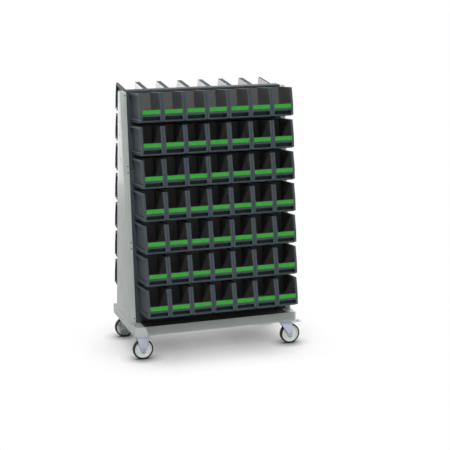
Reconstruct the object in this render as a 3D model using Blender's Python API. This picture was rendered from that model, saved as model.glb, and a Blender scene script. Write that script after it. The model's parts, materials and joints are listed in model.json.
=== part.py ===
"""A mobile bin cart: an A-shaped frame on four casters, with open bins hooked on both sloping faces.

Metres, +Z up. The origin is on the floor, midway between the fixed wheels' axles at -X and those of
the trailing swivel wheels at +X. X runs along the cart, and the front face looks along -Y.
"""
import math

import bmesh
import bpy
from mathutils import Vector

# Clearance between pieces that touch
FIT_GAP = 0.0003

# Base frame and deck
BASE_LENGTH = 1.032
BASE_DEPTH = 0.530
BASE_HEIGHT = 0.057
BASE_SHEET = 0.002
END_TOP_FLANGE = 0.061
END_FOOT_FLANGE = 0.114
RAIL_FOOT_FLANGE = 0.030
DECK_SHEET = 0.0015
DECK_DROP = 0.006

# End panels, folded from sheet, that carry the two sloping faces
POST_FOOT_DEPTH = 0.349
POST_HEAD_DEPTH = 0.071
POST_FLANGE = 0.0325
POST_SHEET = 0.002

# Louvre panels and their hanging lips
PANELS_PER_FACE = 3
PANEL_HEIGHT = 0.460
PANEL_MARGIN = 0.0084
PANEL_SHEET = 0.0015
PANEL_RETURN = 0.012
LIP_SHEET = 0.0015
LIP_RISE = 0.0135
LIP_END_MARGIN = 0.008

# Cover over the ridge
COVER_SHEET = 0.0015
COVER_RISE = 0.006
COVER_SKIRT = 0.007

# Bins, whose rows and columns follow from the room on a face
BIN_PITCH = 0.1342
BIN_ROW_GAP = 0.023
FIRST_BIN_TOP = 0.0052
BIN_SIDE_GAP = 0.0016
BIN_WALL = 0.002
BIN_HEIGHT = 0.168
BIN_FRONT = 0.2505
BIN_RIM_SHEET = 0.0022
BIN_FLANGE = 0.0135
BIN_FLANGE_SETBACK = 0.015
BIN_KNEE_RISE = 0.076
BIN_FRONT_WALL = 0.0735
BIN_FOOT_RISE = 0.0095
BIN_FOOT_SETBACK = 0.010
BIN_BACK_RECESS = 0.039

# Hollow below each bin's label band, with a lip along its front
GRIP_RISE = 0.0105
GRIP_HEIGHT = 0.0235
GRIP_DEPTH = 0.0285
GRIP_LIP = 0.012

# Hook and heel on each bin's back
HOOK_DROP = 0.004
HOOK_SHEET = 0.002
HOOK_TONGUE = 0.010
HEEL_HEIGHT = 0.012

# Label strip in front of each bin
LABEL_HEIGHT = 0.0237
LABEL_SHEET = 0.0015
LABEL_INSET = 0.002

# Casters
CASTER_INSET_X = 0.060
CASTER_INSET_Y = 0.040
WHEEL_RADIUS = 0.0625
WHEEL_HEADROOM = 0.028
TREAD_WIDTH = 0.032
TYRE_DEPTH = 0.009
TYRE_SHOULDER = 0.004
RIM_STEP = 0.004
HUB_RADIUS = 0.017
WEB_WIDTH = 0.008
RIM_DEPTH = 0.006
AXLE_RADIUS = 0.004
AXLE_HEAD_RADIUS = 0.0075
AXLE_HEAD_HEIGHT = 0.004
FORK_SHEET = 0.0025
FORK_SIDE_CLEARANCE = 0.003
FORK_FOOT_RADIUS = 0.015
PLATE_LENGTH = 0.100
PLATE_DEPTH = 0.076
PLATE_SHEET = 0.003
FIXED_LEG_TOP_WIDTH = 0.092

# Swivel head and brake of the casters at +X
SWIVEL_TRAIL = 0.036
RACE_RADIUS = 0.031
RACE_HEIGHT = 0.006
KING_PIN_RADIUS = 0.007
KING_PIN_HEIGHT = 0.012
CROWN_RADIUS = 0.037
CROWN_SHEET = 0.003
SWIVEL_LEG_BACK = 0.034
SWIVEL_LEG_FRONT = 0.043
BRAKE_PIVOT_X = 0.026
BRAKE_CLEARANCE = 0.0045
BRAKE_PIN_RADIUS = 0.003
BRAKE_BOSS_RADIUS = 0.0045
BRAKE_ARM_LENGTH = 0.064
BRAKE_ARM_RISE = 0.006
BRAKE_ARM_SHEET = 0.003
BRAKE_PAD_LENGTH = 0.017
BRAKE_PAD_HEIGHT = 0.009

# Faces round a turned piece
WHEEL_SIDES = 32
ROUND_SIDES = 16
FOOT_ARC_STEPS = 6
SMOOTH_ANGLE = math.radians(35.0)

# Derived places
BASE_BOTTOM = 2 * WHEEL_RADIUS + WHEEL_HEADROOM
BASE_TOP = BASE_BOTTOM + BASE_HEIGHT
PANEL_STACK = PANELS_PER_FACE * (PANEL_HEIGHT + FIT_GAP) - FIT_GAP
SLOPE = PANEL_STACK + PANEL_MARGIN
LEAN = math.asin((POST_FOOT_DEPTH - POST_HEAD_DEPTH) / 2 / SLOPE)
POST_TOP = BASE_TOP + SLOPE * math.cos(LEAN)
HALF_LENGTH = BASE_LENGTH / 2
PANEL_OUT = -(POST_SHEET + FIT_GAP)
FIRST_PANEL_TOP = (POST_SHEET + FIT_GAP) / math.cos(LEAN)
FACE_HALF_WIDTH = HALF_LENGTH - POST_FLANGE - FIT_GAP
BIN_WIDTH = BIN_PITCH - BIN_SIDE_GAP
ROW_PITCH = BIN_HEIGHT + BIN_ROW_GAP
BIN_COLUMNS = int(2 * FACE_HALF_WIDTH / BIN_PITCH)
BIN_ROWS = 1 + int((FIRST_PANEL_TOP + PANEL_STACK - FIRST_BIN_TOP - BIN_HEIGHT) / ROW_PITCH)
BIN_KNEE_DROP = BIN_HEIGHT - BIN_KNEE_RISE
BIN_FRONT_WALL_DROP = BIN_HEIGHT - BIN_FRONT_WALL
BIN_FOOT_DROP = BIN_HEIGHT - BIN_FOOT_RISE
BIN_OPENING_HALF = BIN_WIDTH / 2 - BIN_FLANGE
GRIP_TOP_DROP = BIN_HEIGHT - GRIP_RISE - GRIP_HEIGHT
HOOK_TOP = HOOK_DROP
LIP_TOP = HOOK_TOP + HOOK_SHEET + FIT_GAP
TONGUE_IN = HOOK_SHEET / 2
TONGUE_OUT = TONGUE_IN + HOOK_SHEET
LIP_IN = TONGUE_OUT + FIT_GAP
LIP_OUT = LIP_IN + LIP_SHEET
BIN_BACK = LIP_OUT + FIT_GAP
HEEL_BACK = PANEL_OUT + FIT_GAP
AXLE_DROP = BASE_BOTTOM - WHEEL_RADIUS
BRAKE_PIVOT_RISE = WHEEL_RADIUS + BRAKE_CLEARANCE
LEG_IN = TREAD_WIDTH / 2 + FORK_SIDE_CLEARANCE
LEG_OUT = LEG_IN + FORK_SHEET
PLATE_BOTTOM = -(FIT_GAP + PLATE_SHEET)
CUT_OVERRUN = 0.004


def clear_scene():
    for item in list(bpy.data.objects):
        bpy.data.objects.remove(item, do_unlink=True)


def material(name, colour, roughness, metallic=0.0):
    made = bpy.data.materials.new(name)
    made.use_nodes = True
    shader = made.node_tree.nodes["Principled BSDF"]
    shader.inputs["Base Color"].default_value = (*colour, 1.0)
    shader.inputs["Roughness"].default_value = roughness
    shader.inputs["Metallic"].default_value = metallic
    return made


def empty(name, location, rotation=(0.0, 0.0, 0.0), parent=None):
    made = bpy.data.objects.new(name, None)
    made.location = location
    made.rotation_euler = rotation
    made.parent = parent
    bpy.context.scene.collection.objects.link(made)
    return made


def piece(name, mesh, finish, location=(0.0, 0.0, 0.0), rotation=(0.0, 0.0, 0.0), parent=None):
    """One sub-part. Its mesh may be shared with other pieces of the same shape and finish."""
    if not mesh.materials:
        mesh.materials.append(finish)
    made = bpy.data.objects.new(name, mesh)
    made.location = location
    made.rotation_euler = rotation
    made.parent = parent
    bpy.context.scene.collection.objects.link(made)
    return made


def finished(shape, name, smooth_angle=None):
    bmesh.ops.recalc_face_normals(shape, faces=shape.faces)
    mesh = bpy.data.meshes.new(name)
    shape.to_mesh(mesh)
    shape.free()
    if smooth_angle is not None:
        mesh.shade_smooth()
        mesh.set_sharp_from_angle(angle=smooth_angle)
    return mesh


def prism(outlines, axis, spans, name):
    """Closed prisms: each outline is pushed along the axis over its own span of places."""
    order = {"X": lambda a, b, along: (along, a, b), "Y": lambda a, b, along: (a, along, b)}[axis]
    shape = bmesh.new()
    for outline, (low, high) in zip(outlines, spans):
        ring = [shape.verts.new(order(a, b, low)) for a, b in outline]
        face = shape.faces.new(ring)
        pushed = bmesh.ops.extrude_face_region(shape, geom=[face])["geom"]
        moved = [item for item in pushed if isinstance(item, bmesh.types.BMVert)]
        bmesh.ops.translate(shape, verts=moved, vec=order(0.0, 0.0, high - low))
    return finished(shape, name)


def boxes(ranges, name):
    """Closed boxes, each given as its two opposite corners."""
    outlines = [[(a[1], a[2]), (b[1], a[2]), (b[1], b[2]), (a[1], b[2])] for a, b in ranges]
    return prism(outlines, "X", [(a[0], b[0]) for a, b in ranges], name)


def turned(profile, axis, sides, name):
    """A closed ring of (radius, along) points turned once round the axis, Y or Z."""
    place = {"Y": lambda r, a: (0.0, a, -r), "Z": lambda r, a: (r, 0.0, a)}[axis]
    around = {"Y": (0.0, 1.0, 0.0), "Z": (0.0, 0.0, 1.0)}[axis]
    shape = bmesh.new()
    ring = [shape.verts.new(place(r, a)) for r, a in profile]
    for one, other in zip(ring, ring[1:]):
        shape.edges.new((one, other))
    if profile[0][0] > 0.0 or profile[-1][0] > 0.0:
        shape.edges.new((ring[-1], ring[0]))
    bmesh.ops.spin(
        shape, geom=shape.verts[:] + shape.edges[:], cent=(0.0, 0.0, 0.0), axis=around,
        angle=2.0 * math.pi, steps=sides, use_merge=True,
    )
    if profile[0][0] == 0.0:
        on_axis = [v for v in shape.verts if v.co.cross(Vector(around)).length < FIT_GAP]
        bmesh.ops.remove_doubles(shape, verts=on_axis, dist=FIT_GAP)
    return finished(shape, name, smooth_angle=SMOOTH_ANGLE)


def combined(mesh, tool, operation):
    """The mesh joined with, or cut by, the tool, by an exact Boolean. Both inputs are used up."""
    body = bpy.data.objects.new("body", mesh)
    other = bpy.data.objects.new("tool", tool)
    for item in (body, other):
        bpy.context.scene.collection.objects.link(item)
    step = body.modifiers.new("Boolean", "BOOLEAN")
    step.object = other
    step.operation = operation
    step.solver = "EXACT"
    graph = bpy.context.evaluated_depsgraph_get()
    result = bpy.data.meshes.new_from_object(body.evaluated_get(graph))
    result.name = mesh.name
    for item in (body, other):
        bpy.data.objects.remove(item, do_unlink=True)
    return result


def arc(centre_a, centre_b, radius, start, end, steps):
    angles = [start + (end - start) * k / steps for k in range(steps + 1)]
    return [(centre_a + radius * math.cos(t), centre_b + radius * math.sin(t)) for t in angles]


def tray(outer_low, outer_high, inner_low, inner_high, name):
    """A hollow box with one open side. The low and high corners may taper, so each is four corners.

    outer_low and outer_high are the closed side's and the open side's corners, and the inner ones
    are the hollow's, whose open corners lie in the outer open side.
    """
    shape = bmesh.new()
    rings = [[shape.verts.new(p) for p in ring] for ring in (outer_low, outer_high, inner_high, inner_low)]
    shape.faces.new(rings[0])
    for one, other in zip(rings, rings[1:]):
        for k in range(len(one)):
            n = (k + 1) % len(one)
            shape.faces.new((one[k], one[n], other[n], other[k]))
    shape.faces.new(rings[-1])
    return finished(shape, name)


def base_frame(finish):
    """Welded ring of folded channels: two end beams and two rails, open at the top and below."""
    x, y, t = HALF_LENGTH, BASE_DEPTH / 2, BASE_SHEET
    body = boxes([((-x, -y, BASE_BOTTOM), (x, y, BASE_TOP))], "base_frame")
    hollow = boxes([((-(x - t), -(y - t), BASE_BOTTOM + t), (x - t, y - t, BASE_TOP - t))], "hollow")
    body = combined(body, hollow, "DIFFERENCE")
    top_x, foot_x = x - END_TOP_FLANGE, x - END_FOOT_FLANGE
    foot_y = y - RAIL_FOOT_FLANGE
    middle = (BASE_BOTTOM + BASE_TOP) / 2
    top = boxes([((-top_x, -(y - t), middle), (top_x, y - t, BASE_TOP + CUT_OVERRUN))], "top")
    body = combined(body, top, "DIFFERENCE")
    foot = boxes([((-foot_x, -foot_y, BASE_BOTTOM - CUT_OVERRUN), (foot_x, foot_y, middle))], "foot")
    body = combined(body, foot, "DIFFERENCE")
    return piece("base_frame", body, finish)


def rectangle(x, y, z):
    return [(-x, -y, z), (x, -y, z), (x, y, z), (-x, y, z)]


def deck(finish):
    """Pressed pan, open below, that stands on the frame's lower flanges inside the rails."""
    x = HALF_LENGTH - END_TOP_FLANGE - FIT_GAP
    y = BASE_DEPTH / 2 - BASE_SHEET - FIT_GAP
    top, foot = BASE_TOP - DECK_DROP, BASE_BOTTOM + BASE_SHEET + FIT_GAP
    t = DECK_SHEET
    mesh = tray(
        rectangle(x, y, top), rectangle(x, y, foot),
        rectangle(x - t, y - t, top - t), rectangle(x - t, y - t, foot), "deck",
    )
    return piece("deck", mesh, finish)


def face_depth(height):
    """Half the distance between the two sloping faces at a height."""
    return POST_HEAD_DEPTH / 2 + (POST_TOP - height) * math.tan(LEAN)


def end_panel(name, side, finish):
    """Folded end panel: tapering web, front and rear flanges, and a foot and head flange."""
    low, high = BASE_TOP + FIT_GAP, POST_TOP
    t, slope_t = POST_SHEET, POST_SHEET / math.cos(LEAN)

    def corners(x, inset, inset_slope):
        bottom, head = low + inset, high - inset
        a, b = face_depth(bottom) - inset_slope, face_depth(head) - inset_slope
        return [(x, -a, bottom), (x, a, bottom), (x, b, head), (x, -b, head)]

    outer, rim = side * HALF_LENGTH, side * (HALF_LENGTH - POST_FLANGE)
    web = side * (HALF_LENGTH - t)
    mesh = tray(
        corners(outer, 0.0, 0.0), corners(rim, 0.0, 0.0),
        corners(web, t, slope_t), corners(rim, t, slope_t), name,
    )
    return piece(name, mesh, finish)


def louvre_panel(number, row_tops):
    """Flat sheet with folded top and bottom edges and a hanging lip for each row of bins on it."""
    top = FIRST_PANEL_TOP + number * (PANEL_HEIGHT + FIT_GAP)
    bottom = top + PANEL_HEIGHT
    front, back = PANEL_OUT, PANEL_OUT - PANEL_SHEET
    inner, fold = back, back - PANEL_RETURN
    sheet = [
        (-front, -top), (-front, -bottom), (-fold, -bottom), (-fold, -(bottom - PANEL_SHEET)),
        (-inner, -(bottom - PANEL_SHEET)), (-inner, -(top + PANEL_SHEET)),
        (-fold, -(top + PANEL_SHEET)), (-fold, -top),
    ]
    half = HALF_LENGTH - POST_SHEET - FIT_GAP
    mesh = prism([sheet], "X", [(-half, half)], "louvre_panel")
    lips = []
    for row_top in row_tops:
        lip_top = row_top + LIP_TOP
        lip_foot = lip_top + LIP_RISE
        if not top < lip_foot - LIP_SHEET / 2 < bottom:
            continue
        root = PANEL_OUT - PANEL_SHEET / 2
        lips.append([
            (-LIP_OUT, -lip_top), (-LIP_IN, -lip_top), (-LIP_IN, -(lip_foot - LIP_SHEET)),
            (-root, -(lip_foot - LIP_SHEET)), (-root, -lip_foot), (-LIP_OUT, -lip_foot),
        ])
    lip_half = FACE_HALF_WIDTH - LIP_END_MARGIN
    tool = prism(lips, "X", [(-lip_half, lip_half)] * len(lips), "lips")
    return combined(mesh, tool, "UNION")


def ridge_cover(finish):
    """Folded channel over the ridge, its skirts in front of the two top louvre panels."""
    skirt_in, skirt_out = PANEL_OUT + FIT_GAP, PANEL_OUT + FIT_GAP + COVER_SHEET
    over = POST_TOP + COVER_RISE
    under = over - COVER_SHEET

    def at(out, height):
        return face_depth(height) + out / math.cos(LEAN), height

    foot = POST_TOP - COVER_SKIRT
    half = [at(skirt_out, over), at(skirt_out, foot), at(skirt_in, foot), at(skirt_in, under)]
    outline = half + [(-y, z) for y, z in reversed(half)]
    x = FACE_HALF_WIDTH
    return piece("ridge_cover", prism([outline], "X", [(-x, x)], "ridge_cover"), finish)


def bin_outline():
    """Side outline of a bin as (out, down) points: hook and heel at the back, knee at the front."""
    hook_foot = HOOK_TOP + HOOK_SHEET
    heel_top = BIN_HEIGHT - HEEL_HEIGHT
    return [
        (TONGUE_IN, HOOK_TOP), (TONGUE_IN, HOOK_TOP + HOOK_TONGUE), (TONGUE_OUT, HOOK_TOP + HOOK_TONGUE),
        (TONGUE_OUT, hook_foot), (BIN_BACK, hook_foot), (BIN_BACK, heel_top), (HEEL_BACK, heel_top),
        (HEEL_BACK, BIN_HEIGHT), (BIN_FRONT - BIN_FOOT_SETBACK, BIN_HEIGHT), (BIN_FRONT, BIN_FOOT_DROP),
        (BIN_FRONT, BIN_KNEE_DROP), (BIN_FRONT - BIN_FLANGE_SETBACK, 0.0), (BIN_BACK, 0.0),
        (BIN_BACK, HOOK_TOP),
    ]


def bin_hollows():
    """Side outlines of what is cut between a bin's walls: its inside, its grip and the space behind."""
    wall, over = BIN_WALL, CUT_OVERRUN
    outside, floor = BIN_FRONT + over, BIN_HEIGHT - wall
    back_in, back_out = BIN_BACK + BIN_BACK_RECESS + wall, BIN_BACK + BIN_BACK_RECESS
    behind_tongue = (TONGUE_OUT + BIN_BACK) / 2
    grip_back, grip_foot = BIN_FRONT - GRIP_DEPTH, GRIP_TOP_DROP + GRIP_HEIGHT
    lip_back = BIN_FRONT - GRIP_LIP
    inside = [
        (behind_tongue, -over), (behind_tongue, HOOK_TOP), (back_in, HOOK_TOP), (back_in, floor),
        (grip_back - wall, floor), (grip_back - wall, GRIP_TOP_DROP - wall),
        (BIN_FRONT - wall, GRIP_TOP_DROP - wall), (BIN_FRONT - wall, BIN_FRONT_WALL_DROP),
        (outside, BIN_FRONT_WALL_DROP), (outside, -over),
    ]
    grip = [
        (grip_back, GRIP_TOP_DROP), (grip_back, floor), (lip_back, floor), (lip_back, grip_foot),
        (outside, grip_foot), (outside, GRIP_TOP_DROP),
    ]
    behind = [
        (behind_tongue, HOOK_TOP + HOOK_SHEET), (back_out, HOOK_TOP + HOOK_SHEET),
        (back_out, BIN_HEIGHT + over), (behind_tongue, BIN_HEIGHT + over),
    ]
    return inside, grip, behind


def beside_bin():
    """Side outline of the space outside a bin's walls, below its rims and behind its flanges."""
    wall, over = BIN_WALL, CUT_OVERRUN
    outside, behind = BIN_FRONT + over, HEEL_BACK - over
    flange_top = BIN_FRONT - BIN_FLANGE_SETBACK * (1.0 - BIN_RIM_SHEET / BIN_KNEE_DROP)
    return [
        (behind, BIN_RIM_SHEET), (flange_top - wall, BIN_RIM_SHEET), (BIN_FRONT - wall, BIN_KNEE_DROP),
        (BIN_FRONT - wall, BIN_FOOT_DROP), (outside, BIN_FOOT_DROP), (outside, BIN_HEIGHT + over),
        (behind, BIN_HEIGHT + over),
    ]


def bin_mesh(columns, name):
    """A row of bins as one block: side outline pushed along the row, then cut inside and between bins."""
    width = columns * BIN_PITCH - BIN_SIDE_GAP
    mesh = prism([[(-o, -d) for o, d in bin_outline()]], "X", [(-width / 2, width / 2)], name)
    middles = [(k - (columns - 1) / 2) * BIN_PITCH for k in range(columns)]
    joints = [(k - columns / 2) * BIN_PITCH for k in range(columns + 1)]
    cuts = [(shape, middles, BIN_OPENING_HALF) for shape in bin_hollows()]
    cuts.append((beside_bin(), joints, BIN_PITCH / 2 - BIN_OPENING_HALF - BIN_WALL))
    for shape, centres, half in cuts:
        outlines = [[(-o, -d) for o, d in shape]] * len(centres)
        tool = prism(outlines, "X", [(c - half, c + half) for c in centres], "tool")
        mesh = combined(mesh, tool, "DIFFERENCE")
    return mesh


def label_mesh():
    """Flat strip that stands against a bin's front wall, between the bin's flanges."""
    half = BIN_OPENING_HALF - FIT_GAP
    back = BIN_FRONT + FIT_GAP
    top = BIN_FRONT_WALL_DROP + LABEL_INSET
    return boxes([((-half, -(back + LABEL_SHEET), -(top + LABEL_HEIGHT)), (half, -back, -top))], "label")


def add_faces(finishes):
    """Louvre panels, bins and labels on both sloping faces."""
    row_tops = [FIRST_BIN_TOP + k * ROW_PITCH for k in range(BIN_ROWS)]
    panels = [louvre_panel(k, row_tops) for k in range(PANELS_PER_FACE)]
    row = bin_mesh(BIN_COLUMNS, "bin_row")
    single, label = bin_mesh(1, "bin"), label_mesh()
    for face, side in (("front", -1.0), ("rear", 1.0)):
        turn = 0.0 if side < 0.0 else math.pi
        place = (0.0, side * POST_HEAD_DEPTH / 2, POST_TOP)
        frame = empty(f"{face}_face", place, (-LEAN, 0.0, turn))
        for k, mesh in enumerate(panels):
            piece(f"{face}_louvre_panel_{k + 1}", mesh, finishes["panel"], parent=frame)
        for k, top in enumerate(row_tops):
            if face == "front" and k == 0:
                continue
            piece(f"{face}_bin_row_{k + 1}", row, finishes["bin"], (0.0, 0.0, -top), parent=frame)
        if face == "front":
            for column in range(BIN_COLUMNS):
                x = (column - (BIN_COLUMNS - 1) / 2) * BIN_PITCH
                where = (x, 0.0, -row_tops[0])
                piece(f"front_top_bin_{column + 1}", single, finishes["bin"], where, parent=frame)
                piece(f"front_top_label_{column + 1}", label, finishes["label"], where, parent=frame)


def wheel_mesh():
    """Wheel body turned round its axle: hub, web and rim."""
    hub_half = LEG_IN - FIT_GAP
    rim_half = TREAD_WIDTH / 2 - RIM_STEP
    rim_out = WHEEL_RADIUS - TYRE_DEPTH - FIT_GAP
    rim_in = rim_out - RIM_DEPTH
    bore = AXLE_RADIUS + FIT_GAP
    half = [
        (bore, hub_half), (HUB_RADIUS, hub_half), (HUB_RADIUS, WEB_WIDTH / 2), (rim_in, WEB_WIDTH / 2),
        (rim_in, rim_half), (rim_out, rim_half),
    ]
    return turned(half + [(r, -a) for r, a in reversed(half)], "Y", WHEEL_SIDES, "wheel")


def tyre_mesh():
    """Rubber tyre on the rim, with sloped shoulders."""
    inner, outer = WHEEL_RADIUS - TYRE_DEPTH, WHEEL_RADIUS
    half = [
        (inner, TREAD_WIDTH / 2), (outer - TYRE_SHOULDER, TREAD_WIDTH / 2),
        (outer, TREAD_WIDTH / 2 - TYRE_SHOULDER),
    ]
    return turned(half + [(r, -a) for r, a in reversed(half)], "Y", WHEEL_SIDES, "tyre")


def axle_mesh():
    """Axle bolt with its head outside one fork leg and its nut outside the other."""
    seat = LEG_OUT + FIT_GAP
    end = seat + AXLE_HEAD_HEIGHT
    half = [(AXLE_RADIUS, seat), (AXLE_HEAD_RADIUS, seat), (AXLE_HEAD_RADIUS, end)]
    profile = [(0.0, end)] + half[::-1] + [(r, -a) for r, a in half] + [(0.0, -end)]
    return turned(profile, "Y", ROUND_SIDES, "axle")


def peg(radius, half_length, x, z, name):
    """A round peg along Y about a place in the XZ plane."""
    outline = arc(x, z, radius, 0.0, 2.0 * math.pi, ROUND_SIDES)[:-1]
    return prism([outline], "Y", [(-half_length, half_length)], name)


def leg_pair(outline):
    return prism([outline] * 2, "Y", [(-LEG_OUT, -LEG_IN), (LEG_IN, LEG_OUT)], "legs")


def mounting_plate():
    x, y = PLATE_LENGTH / 2, PLATE_DEPTH / 2
    return boxes([((-x, -y, PLATE_BOTTOM), (x, y, -FIT_GAP))], "plate")


def fixed_fork_mesh():
    """Mounting plate with two tapering legs down to the axle."""
    high = PLATE_BOTTOM + PLATE_SHEET / 2
    half = FIXED_LEG_TOP_WIDTH / 2
    foot = arc(0.0, -AXLE_DROP, FORK_FOOT_RADIUS, 0.0, -math.pi, FOOT_ARC_STEPS)
    legs = leg_pair([(-half, high), (half, high)] + foot)
    mesh = combined(mounting_plate(), legs, "UNION")
    hole = peg(AXLE_RADIUS + FIT_GAP, LEG_OUT + CUT_OVERRUN, 0.0, -AXLE_DROP, "hole")
    return combined(mesh, hole, "DIFFERENCE")


def swivel_plate_mesh():
    """Mounting plate with the ball race under it and the king pin's stub."""
    top = PLATE_BOTTOM + PLATE_SHEET / 2
    race = PLATE_BOTTOM - RACE_HEIGHT
    profile = [
        (0.0, top), (RACE_RADIUS, top), (RACE_RADIUS, race), (KING_PIN_RADIUS, race),
        (KING_PIN_RADIUS, race - KING_PIN_HEIGHT), (0.0, race - KING_PIN_HEIGHT),
    ]
    return combined(mounting_plate(), turned(profile, "Z", ROUND_SIDES, "race"), "UNION")


def swivel_fork_mesh():
    """Crown plate under the ball race and two legs that trail back to the axle."""
    crown_top = PLATE_BOTTOM - RACE_HEIGHT - FIT_GAP
    crown_low = crown_top - CROWN_SHEET
    crown = turned(
        [(KING_PIN_RADIUS + FIT_GAP, crown_top), (CROWN_RADIUS, crown_top), (CROWN_RADIUS, crown_low),
         (KING_PIN_RADIUS + FIT_GAP, crown_low)], "Z", ROUND_SIDES, "swivel_fork",
    )
    high = (crown_top + crown_low) / 2
    foot = arc(SWIVEL_TRAIL, -AXLE_DROP, FORK_FOOT_RADIUS, 0.0, -math.pi, FOOT_ARC_STEPS)
    legs = leg_pair([(-SWIVEL_LEG_BACK, high), (SWIVEL_LEG_FRONT, high)] + foot)
    mesh = combined(crown, legs, "UNION")
    pivot_z = BRAKE_PIVOT_RISE - AXLE_DROP
    for radius, x, z in (
        (AXLE_RADIUS, SWIVEL_TRAIL, -AXLE_DROP), (BRAKE_PIN_RADIUS, BRAKE_PIVOT_X, pivot_z),
    ):
        hole = peg(radius + FIT_GAP, LEG_OUT + CUT_OVERRUN, x, z, "hole")
        mesh = combined(mesh, hole, "DIFFERENCE")
    return mesh


def brake_pedal_mesh():
    """Brake lever about its pivot: boss, arm and foot pad, with pins into both fork legs."""
    half_sheet = BRAKE_ARM_SHEET / 2
    arm_end, pad_end = BRAKE_ARM_LENGTH, BRAKE_ARM_LENGTH + BRAKE_PAD_LENGTH
    rise = BRAKE_ARM_RISE
    outline = [
        (0.0, -half_sheet), (arm_end, rise - half_sheet), (pad_end, rise - half_sheet),
        (pad_end, rise - half_sheet + BRAKE_PAD_HEIGHT), (arm_end, rise - half_sheet + BRAKE_PAD_HEIGHT),
        (arm_end, rise + half_sheet), (0.0, half_sheet),
    ]
    half = LEG_IN - FORK_SIDE_CLEARANCE
    mesh = prism([outline], "Y", [(-half, half)], "brake_pedal")
    mesh = combined(mesh, peg(BRAKE_BOSS_RADIUS, LEG_IN - FIT_GAP, 0.0, 0.0, "boss"), "UNION")
    return combined(mesh, peg(BRAKE_PIN_RADIUS, LEG_OUT, 0.0, 0.0, "pin"), "UNION")


def add_casters(finishes):
    """Fixed casters at -X, braked swivel casters at +X, each built about its own mounting point."""
    wheel, tyre, axle = wheel_mesh(), tyre_mesh(), axle_mesh()
    fixed_fork, swivel_fork = fixed_fork_mesh(), swivel_fork_mesh()
    plate, pedal = swivel_plate_mesh(), brake_pedal_mesh()
    x = HALF_LENGTH - CASTER_INSET_X
    y = BASE_DEPTH / 2 - CASTER_INSET_Y
    for face, across in (("front", -y), ("rear", y)):
        for end, along in (("fixed", -x), ("swivel", x)):
            name = f"{face}_{end}"
            mount = empty(f"{name}_mount", (along, across, BASE_BOTTOM))
            trail = SWIVEL_TRAIL if end == "swivel" else 0.0
            centre = (trail, 0.0, -AXLE_DROP)
            if end == "fixed":
                piece(f"{name}_fork", fixed_fork, finishes["zinc"], parent=mount)
            else:
                piece(f"{name}_plate", plate, finishes["zinc"], parent=mount)
                piece(f"{name}_fork", swivel_fork, finishes["zinc"], parent=mount)
                pivot = (BRAKE_PIVOT_X, 0.0, BRAKE_PIVOT_RISE - AXLE_DROP)
                piece(f"{name}_brake_pedal", pedal, finishes["zinc"], pivot, parent=mount)
            piece(f"{name}_axle", axle, finishes["bolt"], centre, parent=mount)
            piece(f"{name}_wheel", wheel, finishes["wheel"], centre, parent=mount)
            piece(f"{name}_tyre", tyre, finishes["tyre"], centre, parent=mount)


def main():
    clear_scene()
    finishes = {
        "frame": material("light_grey_paint", (0.52, 0.57, 0.55), 0.45),
        "deck": material("anthracite_deck", (0.030, 0.031, 0.030), 0.6),
        "panel": material("anthracite_paint", (0.050, 0.060, 0.070), 0.5),
        "bin": material("anthracite_plastic", (0.075, 0.085, 0.105), 0.5),
        "label": material("green_label", (0.050, 0.380, 0.040), 0.5),
        "zinc": material("zinc_plated_steel", (0.45, 0.47, 0.52), 0.35, 0.6),
        "bolt": material("bright_steel", (0.60, 0.61, 0.62), 0.3, 0.9),
        "wheel": material("pale_polyamide", (0.62, 0.66, 0.66), 0.4),
        "tyre": material("black_rubber", (0.010, 0.012, 0.012), 0.7),
    }
    base_frame(finishes["frame"])
    deck(finishes["deck"])
    end_panel("left_end_panel", -1.0, finishes["frame"])
    end_panel("right_end_panel", 1.0, finishes["frame"])
    ridge_cover(finishes["panel"])
    add_faces(finishes)
    add_casters(finishes)
    cart = empty("cart", (-SWIVEL_TRAIL / 2, 0.0, 0.0))
    for item in list(bpy.data.objects):
        if item.parent is None and item is not cart:
            item.parent = cart
    bpy.context.view_layer.update()


main()
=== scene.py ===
# %% [markdown]
# # Dressing a mobile bin cart
# The cart is an A-shaped frame on four casters. Both sloping faces carry seven rows of seven open
# bins. Its solids and joints come from a packed CAD model, which is loaded first and never moved.
# Everything below builds finer pieces in the same place, in metres, with the floor at z = 0.

# %% Load the CAD frame
import json
import math

import bmesh
import bpy
from mathutils import Euler, Matrix, Vector


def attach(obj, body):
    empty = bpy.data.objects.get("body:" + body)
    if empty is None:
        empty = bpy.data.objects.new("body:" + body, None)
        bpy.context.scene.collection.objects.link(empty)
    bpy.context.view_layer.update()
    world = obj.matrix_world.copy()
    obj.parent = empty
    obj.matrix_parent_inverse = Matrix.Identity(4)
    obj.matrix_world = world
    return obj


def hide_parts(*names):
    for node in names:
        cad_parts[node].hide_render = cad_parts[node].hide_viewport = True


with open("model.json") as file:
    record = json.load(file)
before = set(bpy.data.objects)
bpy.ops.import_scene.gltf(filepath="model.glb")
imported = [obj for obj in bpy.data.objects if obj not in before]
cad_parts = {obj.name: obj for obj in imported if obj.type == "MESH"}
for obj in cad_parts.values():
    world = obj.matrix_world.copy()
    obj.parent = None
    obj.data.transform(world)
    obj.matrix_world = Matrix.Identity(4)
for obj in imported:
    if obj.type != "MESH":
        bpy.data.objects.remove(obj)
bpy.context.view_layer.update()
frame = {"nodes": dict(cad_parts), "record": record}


def rounded(corners):
    """The numbers of a box's corners to a tenth of a millimetre, for printing."""
    return [round(v, 4) for corner in corners for v in corner]


bodies = frame["record"]["behaviour"]["bodies"]
body_of = {node: body for body, nodes in bodies.items() for node in nodes}

# %% [markdown]
# ## The camera
# The picture was taken from the front left, from a little above the cart's top and from far away,
# so the rows stay nearly parallel. A long lens at the same distance gives the same slants. The
# camera looks slightly down instead of shifting its picture, so other views stay centred.

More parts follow.
